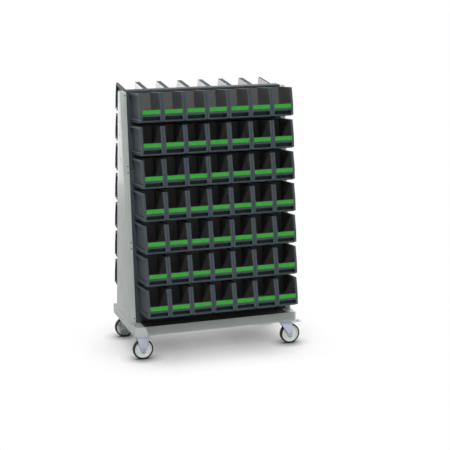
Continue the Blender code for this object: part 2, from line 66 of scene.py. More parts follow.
# %% Place the camera
PICTURE_WIDTH, FOCAL_PIXELS, SENSOR, VIEW_LIMIT = 450, 1239.3, 36.0, 300.0
CAMERA_SPOT, LOOK_DOWN, LOOK_RIGHT = (-2.2672, -7.1002, 2.5324), 13.509, 18.610


def in_scene(name, data):
    """A new object of this data, linked to the scene."""
    made = bpy.data.objects.new(name, data)
    bpy.context.scene.collection.objects.link(made)
    return made


camera_data = bpy.data.cameras.new("camera")
camera_data.sensor_width = SENSOR
camera_data.lens = FOCAL_PIXELS / PICTURE_WIDTH * SENSOR
camera_data.clip_end = VIEW_LIMIT
camera = in_scene("camera", camera_data)
camera.location = CAMERA_SPOT
camera.rotation_euler = (math.radians(90.0 - LOOK_DOWN), 0.0, math.radians(-LOOK_RIGHT))
bpy.context.scene.camera = camera
print("lens", round(camera_data.lens, 2), "mm")

# %% [markdown]
# ## A small language for finishes
# A finish is a graph of shader nodes. Writing `grain * 0.2 + 0.4` is easier to read than placing
# two Math nodes, so a Wire wraps one socket and its operators add those nodes. The reflected
# forms make `1.0 - mask` work too.

# %% Wires
class Wire:
    """One output socket. Operators on it add Math nodes."""

    def __init__(self, graph, socket):
        self.graph, self.socket = graph, socket

    def maths(self, operation, first, second):
        """One Math node on two wires or numbers."""
        return self.graph.node("ShaderNodeMath", {"operation": operation}, {0: first, 1: second})

    def __add__(self, other):
        return self.maths("ADD", self, other)

    def __radd__(self, other):
        return self.maths("ADD", other, self)

    def __sub__(self, other):
        return self.maths("SUBTRACT", self, other)

    def __rsub__(self, other):
        return self.maths("SUBTRACT", other, self)

    def __mul__(self, other):
        return self.maths("MULTIPLY", self, other)

    def __rmul__(self, other):
        return self.maths("MULTIPLY", other, self)

    def larger(self, other):
        return self.maths("MAXIMUM", self, other)


print("a wire adds Math nodes for +, - and *, and for the larger of two")

# %% [markdown]
# ## Graphs of nodes
# Every other node comes from one method, which takes its type, its settings and what goes into
# its sockets. A Graph has that method and works on any tree of nodes, so the studio's sky can use
# it as well.

# %% Graphs
class Graph:
    """A tree of shader nodes."""

    def __init__(self, tree):
        self.tree = tree

    def node(self, kind, settings=None, sockets=None, output=0):
        """Adds a node, sets its settings and then its sockets, and wraps one of its outputs."""
        made = self.tree.nodes.new(kind)
        for key, value in (settings or {}).items():
            setattr(made, key, value)
        for key, value in (sockets or {}).items():
            self.feed(made.inputs[key], value)
        return Wire(self, made.outputs[output])

    def feed(self, socket, value):
        """Links a wire to a socket, or sets the socket's own value."""
        if isinstance(value, Wire):
            self.tree.links.new(value.socket, socket)
        else:
            socket.default_value = value


print("a graph works on any tree of nodes")

# %% [markdown]
# ## Finishes
# A Finish is the graph of one material. Its patterns are measured in metres from the cart's own
# origin on the floor, so the same noise has the same grain on a bin and on a beam. Sizes of
# patterns are given as the width of one cloud or cell, because that can be seen on the real thing.

# %% Finishes
class Finish(Graph):
    """A material whose fixed values are set on the shader, and whose patterns are wires."""

    def __init__(self, name, **fixed):
        self.name = name
        self.material = bpy.data.materials.new(name)
        self.material.use_nodes = True
        super().__init__(self.material.node_tree)
        self.shader = self.tree.nodes["Principled BSDF"]
        for socket, value in fixed.items():
            self.shader.inputs[socket.replace("_", " ")].default_value = value
        self.place = self.node("ShaderNodeTexCoord", output="Object")

    def stretched(self, across):
        """The place with each axis multiplied, for streaks."""
        return self.node("ShaderNodeMapping", None, {"Vector": self.place, "Scale": across})

    def noise(self, size, detail=2.0, place=None):
        """Cloudy values around 0.5, whose clouds are about that many metres across."""
        values = {"Vector": place or self.place, "Scale": 1.0 / size, "Detail": detail}
        return self.node("ShaderNodeTexNoise", None, values)

    def cells(self, size, output="Distance"):
        """The distance from the middle of each cell of that many metres, or the cell's colour."""
        values = {"Vector": self.place, "Scale": 1.0 / size}
        return self.node("ShaderNodeTexVoronoi", None, values, output)

    def mark(self, name):
        """A number that the mesh's own faces carry."""
        return self.node("ShaderNodeAttribute", {"attribute_name": name}, output="Fac")

    def above(self, value, low, high):
        """0 below low and 1 above high, with a smooth step between."""
        values = {"Value": value, "From Min": low, "From Max": high}
        return self.node("ShaderNodeMapRange", {"interpolation_type": "SMOOTHSTEP"}, values)

    def blend(self, share, first, second):
        """A colour between two, by a share from 0 to 1."""
        first = (*first, 1.0) if isinstance(first, tuple) else first
        values = {0: share, 6: first, 7: (*second, 1.0)}
        return self.node("ShaderNodeMix", {"data_type": "RGBA"}, values, output=2)

    def colour(self, share, first, second):
        self.feed(self.shader.inputs["Base Color"], self.blend(share, first, second))

    def roughness(self, value):
        self.feed(self.shader.inputs["Roughness"], value)

    def relief(self, height, depth):
        """Small bumps, as deep as depth in metres where height goes from 0 to 1."""
        bump = self.node("ShaderNodeBump", None, {"Height": height, "Distance": depth}, "Normal")
        self.feed(self.shader.inputs["Normal"], bump)


print("a finish has", ", ".join(name for name in vars(Finish) if not name.startswith("__")))

# %% [markdown]
# ## Powder coat
# The frame is light grey with a touch of green, and the louvre panels are anthracite. Powder melts
# into a film with a slight orange peel a few millimetres wide, over a finer grain. Both go into the
# bump, and the larger clouds shift colour and gloss very little, as on a new part.

# %% Powder-coated finishes
LIGHT_GREYS = ((0.415, 0.455, 0.430), (0.390, 0.430, 0.405))
ANTHRACITES = ((0.040, 0.052, 0.060), (0.035, 0.046, 0.054))
FILM_CLOUD, ORANGE_PEEL, POWDER_GRAIN, PEEL_DEPTH = 0.14, 0.0035, 0.0007, 0.00006
CLOUD_EDGES = (0.3, 0.7)


class PowderCoat(Finish):
    """A finish with the film's gloss and peel. Its clouds are kept for the colour."""

    def __init__(self, name, roughness, **fixed):
        super().__init__(name, **fixed)
        self.clouds = self.noise(FILM_CLOUD, 3.0)
        peel, grain = self.noise(ORANGE_PEEL, 2.0), self.noise(POWDER_GRAIN, 1.0)
        self.roughness(self.clouds * 0.10 + grain * 0.06 + (roughness - 0.08))
        self.relief(peel * 0.75 + grain * 0.25, PEEL_DEPTH)


light_grey = PowderCoat("light_grey_paint", 0.38, Coat_Weight=0.10)
clouded = light_grey.above(light_grey.clouds, *CLOUD_EDGES)
light_grey.colour(clouded, *LIGHT_GREYS)
anthracite = PowderCoat("anthracite_paint", 0.50, Specular_IOR_Level=0.20)
clouded = anthracite.above(anthracite.clouds, *CLOUD_EDGES)
anthracite.colour(clouded, *ANTHRACITES)
print("powder coats", light_grey.name, anthracite.name)

# %% [markdown]
# The deck is a dark powder on a flat pan where things stand and slide, so it is duller and has
# faint lengthwise rubbing marks. Noise that is stretched along X makes those streaks, and only its
# highest values rub through to a paler grey.

# %% Deck finish
DECK_GREY, RUBBED_GREY, RUBBED_SHARE = (0.120, 0.120, 0.111), (0.165, 0.165, 0.156), 0.35
STREAK_WIDTH, STREAK_EDGES = 0.004, (0.62, 0.74)
deck_finish = PowderCoat("anthracite_deck", 0.60, Specular_IOR_Level=0.25)
streaks = deck_finish.noise(STREAK_WIDTH, 3.0, deck_finish.stretched((0.05, 1.0, 1.0)))
rubbed = deck_finish.above(streaks, *STREAK_EDGES)
deck_finish.colour(rubbed * RUBBED_SHARE, DECK_GREY, RUBBED_GREY)
print("deck", deck_finish.name)

# %% [markdown]
# ## Moulded plastic
# The bins are injection moulded in anthracite polypropylene. The mould's fine texture scatters
# light, so the plastic looks dull. Cells 0.6 mm wide make that texture, and slow clouds
# stand for the flow of the melt. Inside, the mould is polished and the plastic looks smoother.
# There it is also painted a paler, more neutral grey, which is painted light that brightens the
# bins' insides. A number on each face, named inside, blends between the two. A second number,
# polished, gives the drawn side walls the gloss of a thin clear coat.

# %% Bin finish
MELT_COLOURS = ((0.056, 0.073, 0.084), (0.052, 0.068, 0.079))
PAINTED_INSIDE_GREY, SCUFF_COLOUR, SCUFF_SHARE = (0.112, 0.111, 0.110), (0.070, 0.080, 0.088), 0.20
FLOW_CLOUD, MOULD_CELL, SCUFF_WIDTH, SCUFF_EDGES = 0.06, 0.0006, 0.008, (0.66, 0.80)
DULLNESS, INSIDE_SMOOTHER, INSIDE_FLATTER, POLISH_COAT = 0.44, 0.16, 0.7, 0.8

plastic = Finish("anthracite_plastic", Specular_IOR_Level=0.08, Coat_Roughness=0.22)
flow, texture = plastic.noise(FLOW_CLOUD, 3.0), plastic.cells(MOULD_CELL)
inner, polished = plastic.mark("inside"), plastic.mark("polished")
scuffs = plastic.noise(SCUFF_WIDTH, 4.0, plastic.stretched((1.0, 1.0, 0.25)))
scuffs = plastic.above(scuffs, *SCUFF_EDGES)
plastic_tone = plastic.blend(plastic.above(flow, *CLOUD_EDGES), *MELT_COLOURS)
# Inside faces are painted a paler, neutral grey: painted light that brightens the bins' insides.
plastic_tone = plastic.blend(inner, plastic_tone, PAINTED_INSIDE_GREY)
plastic.colour(scuffs * SCUFF_SHARE, plastic_tone, SCUFF_COLOUR)
plastic.roughness(flow * 0.10 + scuffs * 0.08 + DULLNESS - inner * INSIDE_SMOOTHER)
plastic.feed(plastic.shader.inputs["Coat Weight"], polished * POLISH_COAT)
plastic.relief(texture * (1.0 - inner * INSIDE_FLATTER), depth=0.00004)
print("bins", plastic.name)

# %% [markdown]
# The label strips are smooth green plastic, left blank. They are drawn lengthwise from a die, so
# faint fibres run along X in the colour and the gloss.

# %% Label finish
GREENS, FIBRE_WIDTH = ((0.034, 0.325, 0.032), (0.030, 0.290, 0.028)), 0.003
label_green = Finish("green_label", Specular_IOR_Level=0.20)
fibres = label_green.noise(FIBRE_WIDTH, 3.0, label_green.stretched((0.12, 1.0, 1.0)))
label_green.colour(label_green.above(fibres, *CLOUD_EDGES), *GREENS)
label_green.roughness(fibres * 0.12 + 0.32)
label_green.relief(label_green.noise(0.0009), depth=0.00003)
print("labels", label_green.name)

# %% [markdown]
# ## Caster metal
# Forks and plates are zinc plated, with a faint blue passivation that varies from grain to grain,
# so cells give each grain its own shade. Bolts are brighter, with fine marks from turning.

# %% Metal finishes
SPANGLES_PER_METRE, BLUE_ZINCS = 260.0, ((0.475, 0.510, 0.605), (0.420, 0.450, 0.535))
zinc = Finish("zinc_plated_steel", Metallic=0.55)
spangle = zinc.cells(1.0 / SPANGLES_PER_METRE, "Color")
grains = zinc.node("ShaderNodeSeparateColor", None, {"Color": spangle})
passivated = zinc.above(zinc.noise(0.03, 3.0), 0.35, 0.65)
zinc.colour(passivated * 0.5 + grains * 0.5, *BLUE_ZINCS)
zinc.roughness(grains * 0.12 + zinc.noise(0.002) * 0.10 + 0.30)
zinc.relief(zinc.noise(0.0012), depth=0.00003)

TURNING_MARK, STEELS = 0.0008, ((0.30, 0.31, 0.33), (0.42, 0.43, 0.45))
steel = Finish("bright_steel", Metallic=0.9)
turning = steel.noise(TURNING_MARK)
steel.colour(turning, *STEELS)
steel.roughness(turning * 0.2 + 0.28)
steel.relief(turning, depth=0.00002)
print("metals", zinc.name, steel.name)

# %% [markdown]
# ## Wheels and tyres
# The wheel bodies are pale polyamide, slightly mottled by the mould. The tyres are black rubber
# that has picked up a little dust, which lies in patches and dulls it.

# %% Polyamide and rubber
MOTTLE_CLOUD, PALES = 0.012, ((0.48, 0.52, 0.51), (0.55, 0.59, 0.58))
polyamide = Finish("pale_polyamide")
mottle = polyamide.noise(MOTTLE_CLOUD, 3.0)
polyamide.colour(mottle, *PALES)
polyamide.roughness(mottle * 0.12 + 0.34)
polyamide.relief(polyamide.noise(0.0009), depth=0.00003)

DUST_PATCH, DUST_EDGES, DUST_SHARE = 0.006, (0.55, 0.80), 0.35
RUBBER_BLACK, DUST_GREY = (0.0090, 0.0105, 0.0105), (0.040, 0.040, 0.038)
rubber = Finish("black_rubber", Specular_IOR_Level=0.20)
dust = rubber.above(rubber.noise(DUST_PATCH, 4.0), *DUST_EDGES)
rubber.colour(dust * DUST_SHARE, RUBBER_BLACK, DUST_GREY)
rubber.roughness(dust * 0.2 + 0.50)
rubber.relief(rubber.noise(0.0010), depth=0.00006)

FINISHES = {
    finish.name: finish for finish in
    (light_grey, anthracite, deck_finish, plastic, label_green, zinc, steel, polyamide, rubber)
}
print(len(FINISHES), "finishes:", ", ".join(FINISHES))

# %% [markdown]
# ## The sloping faces
# Each face leans 5.7 degrees. It is easiest to build what it carries lying in its own frame: x runs
# across, `out` is the distance away from the face, and `down` is the distance down the slope from
# the ridge. One matrix per face then puts a mesh where the CAD has it.

# %% Sizes and frames of the two faces
CART_MIDDLE, HALF_LENGTH = -0.018, 0.516
BASE_TOP, SLOPE = 0.210, 1.389
POST_FOOT_DEPTH, POST_HEAD_DEPTH = 0.349, 0.071
LEAN = math.asin((POST_FOOT_DEPTH - POST_HEAD_DEPTH) / 2 / SLOPE)
POST_TOP = BASE_TOP + SLOPE * math.cos(LEAN)
BIN_PITCH, ROW_PITCH, FIRST_ROW = 0.1342, 0.191, 0.0052
COLUMNS, ROWS = 7, 7
SIDES = {"front": -1.0, "rear": 1.0}


def face_frame(side):
    """The matrix from a face's own frame to the cart's."""
    turn = 0.0 if side < 0.0 else math.pi
    spot = Matrix.Translation((CART_MIDDLE, side * POST_HEAD_DEPTH / 2, POST_TOP))
    return spot @ Euler((-LEAN, 0.0, turn)).to_matrix().to_4x4()


column_x = [(k - (COLUMNS - 1) / 2) * BIN_PITCH for k in range(COLUMNS)]
row_down = [FIRST_ROW + k * ROW_PITCH for k in range(ROWS)]
print("lean", round(math.degrees(LEAN), 3), "degrees, columns at", rounded([column_x]))

# %% [markdown]
# ## Outlines and edges
# Most pieces of the cart are sheet or mouldings whose outline is pushed straight across the cart,
# so one helper pushes an outline along X. Another rounds the edges that are sharper than a chosen
# angle, because an edge with no radius catches no light.

# %% Push and bevel
X, Y = 0, 1
SHARP, TINY = math.radians(30.0), 1e-6


def push(shape, outline, low, high):
    """Adds a closed prism: an outline of (out, down) points, pushed along X from low to high."""
    ring = [shape.verts.new((low, -out, -down)) for out, down in outline]
    pushed = bmesh.ops.extrude_face_region(shape, geom=[shape.faces.new(ring)])["geom"]
    moved = [item for item in pushed if isinstance(item, bmesh.types.BMVert)]
    bmesh.ops.translate(shape, verts=moved, vec=(high - low, 0.0, 0.0))


def run(edge, axis):
    """How far an edge runs along an axis."""
    return abs(edge.verts[0].co[axis] - edge.verts[1].co[axis])


def round_edges(shape, width, segments=1, chosen=None):
    """Bevels the chosen edges, or all whose faces meet at more than the sharp angle."""
    edges = chosen or [e for e in shape.edges if e.is_manifold and e.calc_face_angle(0.0) > SHARP]
    bmesh.ops.bevel(
        shape, geom=edges, offset=width, offset_type="OFFSET", segments=segments, profile=0.5,
        affect="EDGES", clamp_overlap=True, material=-1,
    )


print("edges over", round(math.degrees(SHARP)), "degrees count as sharp")

# %% [markdown]
# ## Joining and cutting
# Holes, hollows and lips are simplest as plain prisms that are cut from a body or joined to it.
# A modifier does that between two objects. They are made only for this and removed again, and the
# exact solver keeps the result closed.

# %% Meshes and Booleans
def to_mesh(shape, name):
    """The shape as a mesh, with its faces outward."""
    bmesh.ops.recalc_face_normals(shape, faces=shape.faces)
    mesh = bpy.data.meshes.new(name)
    shape.to_mesh(mesh)
    shape.free()
    return mesh


def combined(mesh, tool, operation):
    """The mesh joined with, or cut by, the tool, by an exact Boolean."""
    body, other = in_scene("body", mesh), in_scene("tool", tool)
    step = body.modifiers.new("Boolean", "BOOLEAN")
    step.object, step.operation, step.solver = other, operation, "EXACT"
    evaluated = body.evaluated_get(bpy.context.evaluated_depsgraph_get())
    result = bpy.data.meshes.new_from_object(evaluated)
    for item in (body, other):
        bpy.data.objects.remove(item, do_unlink=True)
    return result


print("to_mesh and combined are ready")

# %% [markdown]
# ## One bin
# A bin is injection moulded with walls of 2 mm. Its two side walls are parallel and stand well
# inside its full width. Rims along the top, a broad flange round the front, and a ledge and a rail
# along the foot reach out from them and stiffen the bin. The back wall stands 40 mm off the panel.
# Every part is a plain prism pushed across the bin, so Booleans do this best.

# %% Sizes and prisms of the bin
HALF_WIDTH, OPENING_HALF, WALL = 0.0663, 0.0528, 0.002
BACK, BACK_WALL, FRONT, FRONT_TOP = 0.0051, 0.046, 0.2505, 0.2355
HEIGHT, KNEE, FRONT_WALL = 0.168, 0.092, 0.0945
FOOT_TOP, FOOT_SETBACK, FOOT_EASE = 0.1585, 0.010, 0.0006
HOOK_TOP, HOOK_LENGTH, HOOK_BACK, HOOK_OUT = 0.004, 0.010, 0.001, 0.003
HEEL_HEIGHT, HEEL_BACK, HEEL_FRONT = 0.012, -0.002, 0.00405


def bar(outline, low, high):
    """A closed prism that lies across the bin between two places."""
    shape = bmesh.new()
    push(shape, outline, low, high)
    return to_mesh(shape, "bar")


def rectangle(near, far, top, foot):
    return [(near, top), (far, top), (far, foot), (near, foot)]


def front_band(depth, foot):
    """The outline of the bin's front, leaning above the knee, eased at its foot, and so thick."""
    return [
        (FRONT_TOP - depth, 0.0), (FRONT_TOP, 0.0), (FRONT, KNEE), (FRONT, FOOT_TOP),
        (FRONT - FOOT_EASE, foot), (FRONT - depth, foot), (FRONT - depth, KNEE),
    ]


print("bin:", 2 * HALF_WIDTH, "wide,", HEIGHT, "high,", FRONT, "deep")

# %% [markdown]
# The block between the walls has the bin's whole side outline, with the hook that hangs on the
# louvres and the heel that rests on the panel. Rims, flange, ledge and rail are joined to it right
# across, because the hollows are cut afterwards. Rims, flange and ledge end in a turned-over lip.

# %% Build the bin's block
CORE = [
    (HOOK_BACK, HOOK_TOP), (HOOK_BACK, HOOK_TOP + HOOK_LENGTH), (HOOK_OUT, HOOK_TOP + HOOK_LENGTH),
    (HOOK_OUT, HOOK_TOP + WALL), (BACK, HOOK_TOP + WALL), (BACK, HEIGHT - HEEL_HEIGHT),
    (HEEL_BACK, HEIGHT - HEEL_HEIGHT), (HEEL_BACK, HEIGHT), (FRONT - FOOT_SETBACK, HEIGHT),
    (FRONT, FOOT_TOP), (FRONT, KNEE), (FRONT_TOP, 0.0), (BACK, 0.0), (BACK, HOOK_TOP),
]
RIM_SHEET, RIM_LIP = 0.0022, 0.0135
FLANGE_SHEET, FLANGE_LIP, FLANGE_FOOT = 0.0025, 0.008, 0.163
LEDGE_TOP, LEDGE_FOOT, LEDGE_HALF = 0.147, 0.157, 0.0655
RAIL_TOP, RAIL_FOOT, RAIL_HALF, RAIL_SETBACK = 0.1625, 0.167, 0.064, 0.015
RIM_FRONT, LEDGE_FRONT = FRONT_TOP - FLANGE_SHEET / 2, FRONT - FLANGE_SHEET / 2

bin_mesh = bar(CORE, -(OPENING_HALF + WALL), OPENING_HALF + WALL)
for outline, half in (
    (rectangle(BACK, RIM_FRONT, 0.0, RIM_SHEET), HALF_WIDTH),
    (front_band(FLANGE_SHEET, FLANGE_FOOT), HALF_WIDTH),
    (rectangle(BACK, LEDGE_FRONT, LEDGE_TOP, LEDGE_TOP + WALL), LEDGE_HALF),
    (rectangle(BACK, FRONT - RAIL_SETBACK, RAIL_TOP, RAIL_FOOT), RAIL_HALF),
):
    bin_mesh = combined(bin_mesh, bar(outline, -half, half), "UNION")
for outline, half in (
    (rectangle(BACK, RIM_FRONT, 0.0, RIM_LIP), HALF_WIDTH),
    (front_band(FLANGE_LIP, FLANGE_FOOT), HALF_WIDTH),
    (rectangle(BACK, LEDGE_FRONT, LEDGE_TOP, LEDGE_FOOT), LEDGE_HALF),
):
    bin_mesh = combined(bin_mesh, bar(outline, -half, WALL - half), "UNION")
    bin_mesh = combined(bin_mesh, bar(outline, half - WALL, half), "UNION")
print("block:", len(bin_mesh.polygons), "faces")

# %% [markdown]
# The bin's inside is one prism with an opening above the front wall and a step over the recess.
# Its own corners are rounded, as a mould's core is, but not the two edges where the bin is open
# at the front and at the hook.

# %% Shape of the inside
RECESS_TOP, RECESS_FOOT, RECESS_BACK, RECESS_LIP = 0.134, 0.1575, 0.222, 0.012
CORE_ROUND, FLOOR, OVERRUN = 0.002, HEIGHT - WALL, 0.004


def is_deep(corner):
    return -corner.co.z > HOOK_TOP - TINY and -corner.co.y > HEEL_FRONT + WALL


def on_lip(corner):
    return min(abs(corner.co.z + FRONT_WALL), abs(corner.co.z + HOOK_TOP)) < TINY


def inside():
    outside, step, front = FRONT + OVERRUN, RECESS_BACK - WALL, FRONT - WALL
    outline = [
        (HEEL_FRONT, -OVERRUN), (HEEL_FRONT, HOOK_TOP), (BACK_WALL, HOOK_TOP), (BACK_WALL, FLOOR),
        (step, FLOOR), (step, RECESS_TOP - WALL), (front, RECESS_TOP - WALL), (front, FRONT_WALL),
        (outside, FRONT_WALL), (outside, -OVERRUN),
    ]
    shape = bmesh.new()
    push(shape, outline, -OPENING_HALF, OPENING_HALF)
    chosen = []
    for edge in shape.edges:
        is_lip = run(edge, X) > OPENING_HALF and all(on_lip(v) for v in edge.verts)
        if all(is_deep(v) for v in edge.verts) and not is_lip:
            chosen.append(edge)
    round_edges(shape, CORE_ROUND, 3, chosen)
    return to_mesh(shape, "inside")


print("inside:", round(FLOOR - HOOK_TOP, 4), "deep,", 2 * OPENING_HALF, "wide")

# %% [markdown]
# Two more hollows lie between the side walls: the recess for the fingers below the label, and the
# space between the back wall and the panel. Two shallow grooves run down each wall.

# %% Hollow the bin
GROOVES, GROOVE_WIDTH, GROOVE_DEPTH = (0.095, 0.166), 0.007, 0.0003
recess = [
    (RECESS_BACK, RECESS_TOP), (RECESS_BACK, FLOOR), (FRONT - RECESS_LIP, FLOOR),
    (FRONT - RECESS_LIP, RECESS_FOOT), (FRONT + OVERRUN, RECESS_FOOT),
    (FRONT + OVERRUN, RECESS_TOP),
]
behind = rectangle(HEEL_FRONT, BACK_WALL - WALL, HOOK_TOP + WALL, HEIGHT + OVERRUN)
hollows = [inside(), *(bar(outline, -OPENING_HALF, OPENING_HALF) for outline in (recess, behind))]
groove_half = OPENING_HALF + GROOVE_DEPTH
for middle in GROOVES:
    near, far = middle - GROOVE_WIDTH / 2, middle + GROOVE_WIDTH / 2
    outline = rectangle(near, far, RIM_LIP, FLOOR - CORE_ROUND)
    hollows.append(bar(outline, -groove_half, groove_half))
for hollow in hollows:
    bin_mesh = combined(bin_mesh, hollow, "DIFFERENCE")
print("hollow bin:", len(bin_mesh.polygons), "faces")

# %% [markdown]
# Last, every edge is rounded by a third of a millimetre, which is about what a mould leaves. Each
# face also learns whether it belongs to the smooth inside, which the finish also paints a paler
# grey as painted light, and to its polished side walls, for the finish.

# %% Round the edges and mark the inside
BIN_EDGE, SEAM, NEARLY_FLAT, NEARLY_SIDEWAYS = 0.00035, 1e-5, math.radians(0.2), 0.9


def is_inside(centre):
    """True for a face of the smooth inside of the bin."""
    across, out, down = abs(centre.x), -centre.y, -centre.z
    front = FRONT_TOP + (FRONT - FRONT_TOP) * min(down / KNEE, 1.0) - WALL / 2
    in_recess = out > RECESS_BACK - WALL / 2 and down > RECESS_TOP - WALL / 2
    in_walls = across < OPENING_HALF + WALL / 2 and down < FLOOR + WALL / 2
    return in_walls and BACK_WALL - WALL / 2 < out < front and not in_recess


softened = bmesh.new()
softened.from_mesh(bin_mesh)
bmesh.ops.remove_doubles(softened, verts=softened.verts, dist=SEAM)
bmesh.ops.dissolve_limit(
    softened, angle_limit=NEARLY_FLAT, verts=softened.verts, edges=softened.edges,
    use_dissolve_boundaries=False,
)
round_edges(softened, BIN_EDGE)
mark = softened.faces.layers.float.new("inside")
polish = softened.faces.layers.float.new("polished")
softened.normal_update()
for face in softened.faces:
    face[mark] = float(is_inside(face.calc_center_median()))
    face[polish] = face[mark] * float(abs(face.normal.x) > NEARLY_SIDEWAYS)
open_edges = sum(not e.is_manifold for e in softened.edges)
bin_mesh = to_mesh(softened, "bin")
print("bin:", len(bin_mesh.polygons), "faces,", open_edges, "open edges")

# %% [markdown]
# ## One label strip
# The strip is a flat green bar, 1 mm thick, held against the front wall between the frames. Its
# four corners are slightly rounded. It is a separate piece, because it slides out to be written on.

# %% Build the label strip
LABEL_TOP, LABEL_HEIGHT, LABEL_SHEET, LABEL_GAP = 0.0965, 0.0237, 0.0010, 0.0003
LABEL_CORNER, LABEL_EDGE = 0.0012, 0.0003
near, label_half = FRONT + LABEL_GAP, OPENING_HALF - LABEL_GAP
label_shape = bmesh.new()
outline = rectangle(near, near + LABEL_SHEET, LABEL_TOP, LABEL_TOP + LABEL_HEIGHT)
push(label_shape, outline, -label_half, label_half)
corner_edges = [e for e in label_shape.edges if run(e, Y) > LABEL_SHEET / 2]
round_edges(label_shape, LABEL_CORNER, 2, corner_edges)
round_edges(label_shape, LABEL_EDGE)
label_mesh = to_mesh(label_shape, "label")
print("label:", len(label_mesh.polygons), "faces")

# %% [markdown]
# ## From a shape to a piece
# A finished mesh is already in its place, so its object stays at the origin. It gets its finish,
# rides on the body that carries the CAD node, and takes over from that node. What repeats, such as
# a bin in a row, is copied into one mesh at several spots and turned into place by a matrix.

# %% Piece helpers
def make_piece(name, source, slot, body, stands_for=()):
    """A finished piece: its mesh is in place and its object sits at the origin."""
    mesh = source if isinstance(source, bpy.types.Mesh) else to_mesh(source, name)
    mesh.shade_smooth()
    mesh.set_sharp_from_angle(angle=SHARP)
    mesh.materials.clear()
    mesh.materials.append(FINISHES[slot].material)
    made = in_scene(name, mesh)
    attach(made, body)
    if stands_for:
        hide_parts(*stands_for)
    print(f"{name}: {len(mesh.polygons)} faces on {body}")
    return made


def copies(mesh, spots, matrix=Matrix.Identity(4)):
    """Copies of a mesh at several spots, as one shape, put in place by a matrix."""
    shape = bmesh.new()
    for spot in spots:
        known = len(shape.verts)
        shape.from_mesh(mesh)
        shape.verts.ensure_lookup_table()
        bmesh.ops.translate(shape, verts=shape.verts[known:], vec=spot)
    bmesh.ops.transform(shape, matrix=matrix, verts=shape.verts)
    return shape


def on_face(mesh, places, side):
    """Copies of a mesh at (x, down) places on a sloping face."""
    return copies(mesh, [(x, 0.0, -down) for x, down in places], face_frame(side))


print("one face holds", len(column_x) * len(row_down), "bins")

# %% [markdown]
# ## Hang the rows
# The CAD has the front top row as seven bins that lift off one by one, and every other row as one
# body. So the front top row gets seven pieces and seven labels, and each other row gets one piece
# of seven bins with gaps between them, and one of seven labels.

# %% Fill both faces with bins
PLASTIC, GREEN = "anthracite_plastic", "green_label"
for column, x in enumerate(column_x, start=1):
    node, label, place = f"front_top_bin_{column}", f"front_top_label_{column}", (x, row_down[0])
    moulding = on_face(bin_mesh, [place], SIDES["front"])
    make_piece(f"{node}_moulding", moulding, PLASTIC, body_of[node], [node])
    strip = on_face(label_mesh, [place], SIDES["front"])
    make_piece(f"{label}_strip", strip, GREEN, body_of[label], [label])
for face, side in SIDES.items():
    for row, down in enumerate(row_down, start=1):
        if face == "front" and row == 1:
            continue
        node, places = f"{face}_bin_row_{row}", [(x, down) for x in column_x]
        mouldings = on_face(bin_mesh, places, side)
        make_piece(f"{node}_mouldings", mouldings, PLASTIC, body_of[node], [node])
        labels = on_face(label_mesh, places, side)
        make_piece(f"{face}_label_row_{row}", labels, GREEN, body_of[node])

# %% [markdown]
# ## Louvre panels
# Each panel is a sheet with its top and bottom edges folded back. Short tongues are pushed out of
# the sheet and turned up, two for each bin, and the bins' hooks hang on them. Each tongue is an L
# in side view, pushed a short way along the panel and joined to the sheet.

# %% Shape of a louvre panel
PANELS, PANEL_HEIGHT, PANEL_GAP, FIRST_PANEL = 3, 0.460, 0.0003, 0.002312
PANEL_FACE, PANEL_SHEET, PANEL_FOLD, PANEL_ROUND = -0.0023, 0.0015, 0.012, 0.001
PANEL_HALF = HALF_LENGTH - 0.0023
TONGUE_DROP, TONGUE_RISE, TONGUE_IN, TONGUE_OUT = 0.0063, 0.0135, 0.0033, 0.0048
TONGUE_WIDTH, TONGUE_OFFSET = 0.040, 0.032


def tongues_between(top, bottom):
    """The tongues of the rows that hang between two places down the slope."""
    shape, root = bmesh.new(), PANEL_FACE - PANEL_SHEET / 2
    for tip in (down + TONGUE_DROP for down in row_down):
        if not top < tip < bottom:
            continue
        foot = tip + TONGUE_RISE
        seat = foot - PANEL_SHEET
        outline = [
            (TONGUE_OUT, tip), (TONGUE_IN, tip), (TONGUE_IN, seat), (root, seat), (root, foot),
            (TONGUE_OUT, foot),
        ]
        for x in column_x:
            for middle in (x - TONGUE_OFFSET, x + TONGUE_OFFSET):
                push(shape, outline, middle - TONGUE_WIDTH / 2, middle + TONGUE_WIDTH / 2)
    return to_mesh(shape, "tongues")


def louvre_panel(number):
    top = FIRST_PANEL + number * (PANEL_HEIGHT + PANEL_GAP)
    bottom, back = top + PANEL_HEIGHT, PANEL_FACE - PANEL_SHEET
    fold, under, over = back - PANEL_FOLD, top + PANEL_SHEET, bottom - PANEL_SHEET
    outline = [
        (PANEL_FACE, top), (PANEL_FACE, bottom), (fold, bottom), (fold, over), (back, over),
        (back, under), (fold, under), (fold, top),
    ]
    shape = bmesh.new()
    push(shape, outline, -PANEL_HALF, PANEL_HALF)
    folds = [e for e in shape.edges if run(e, X) > PANEL_HALF
             and all(abs(v.co.y + PANEL_FACE) < TINY for v in e.verts)]
    round_edges(shape, PANEL_ROUND, 2, folds)
    return combined(to_mesh(shape, "sheet"), tongues_between(top, bottom), "UNION")


print("louvre panel:", PANEL_HEIGHT, "high,", round(2 * PANEL_HALF, 4), "wide")

# %% [markdown]
# The front and the rear carry the same three panels, so each is built once and placed twice. A
# second copy costs nothing, and the two faces can't drift apart.

# %% Hang the louvre panels
panel_meshes = [louvre_panel(k) for k in range(PANELS)]
for face, side in SIDES.items():
    for number, mesh in enumerate(panel_meshes, start=1):
        node, sheet = f"{face}_louvre_panel_{number}", on_face(mesh, [(0.0, 0.0)], side)
        make_piece(f"{node}_sheet", sheet, "anthracite_paint", body_of[node], [node])

# %% [markdown]
# ## End panels
# Each end panel is a tapering sheet, folded along all four sides to a shallow tray that opens
# inwards. Its folds have a radius of about twice the sheet. So the web is one face, extruded to a
# box, opened, and its folds are bevelled before the sheet gets its thickness. Two holes go through
# each web near its top.

